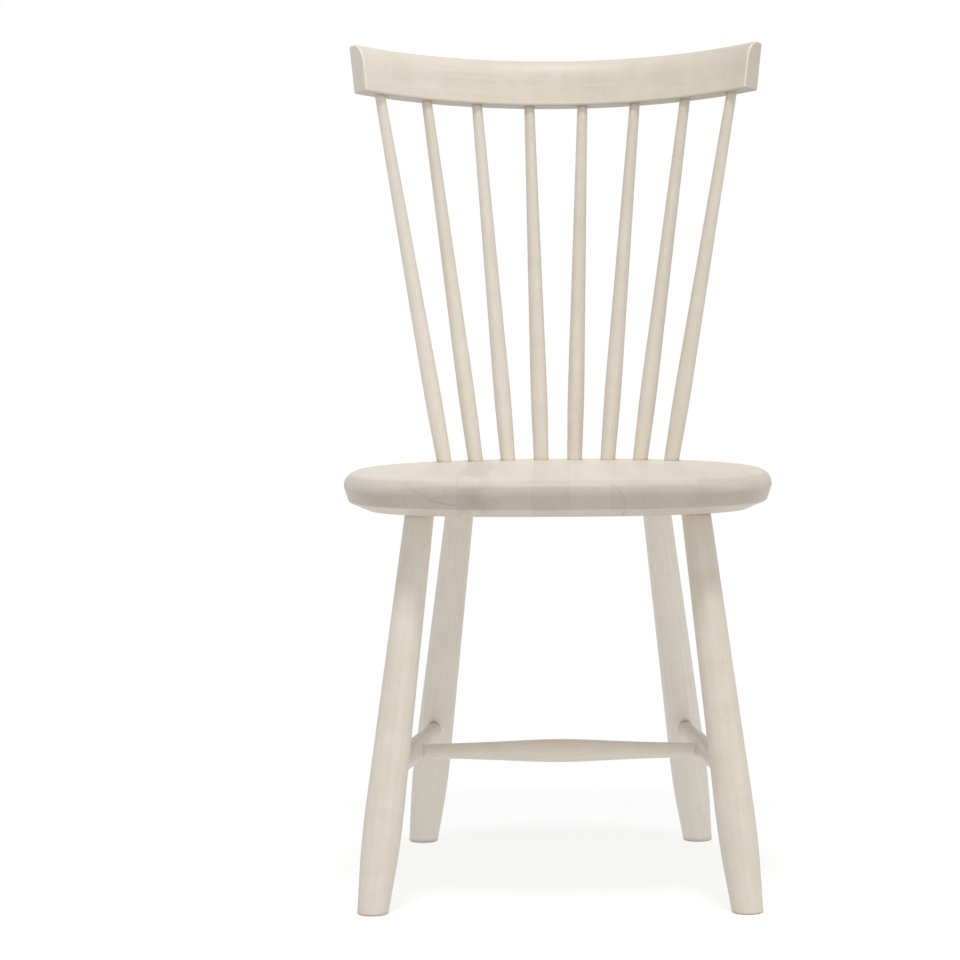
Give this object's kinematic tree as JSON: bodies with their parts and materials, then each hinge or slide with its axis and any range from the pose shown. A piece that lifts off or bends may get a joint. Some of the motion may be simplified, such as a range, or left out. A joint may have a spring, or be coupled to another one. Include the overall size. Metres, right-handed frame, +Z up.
{
  "type": "spindle back chair",
  "caption": "Armless wooden dining chair with a shaped solid seat, splayed turned legs tied by stretchers, fanned back spindles and a bent crest rail.",
  "frame": {"origin": "on the floor, under the middle of the chair's overall width and depth", "axes": "+X to the right of someone facing the chair, +Y towards its back, +Z up from the floor"},
  "size_m": [0.4406, 0.4868, 0.8698],
  "materials": {
    "seat": "satin",
    "legs": "satin",
    "stretchers": "satin",
    "spindles": "satin",
    "crest": "satin"
  },
  "bodies": {
    "root": {"seat_stave_1": "seat", "seat_stave_2": "seat", "seat_stave_3": "seat", "seat_stave_4": "seat", "seat_stave_5": "seat", "seat_stave_6": "seat", "seat_stave_7": "seat", "front_left_leg": "legs", "front_right_leg": "legs", "rear_left_leg": "legs", "rear_right_leg": "legs", "left_side_stretcher": "stretchers", "right_side_stretcher": "stretchers", "centre_stretcher": "stretchers", "spindle_1": "spindles", "spindle_2": "spindles", "spindle_3": "spindles", "spindle_4": "spindles", "spindle_5": "spindles", "spindle_6": "spindles", "spindle_7": "spindles", "spindle_8": "spindles", "crest_rail": "crest"}
  },
  "joints": []
}
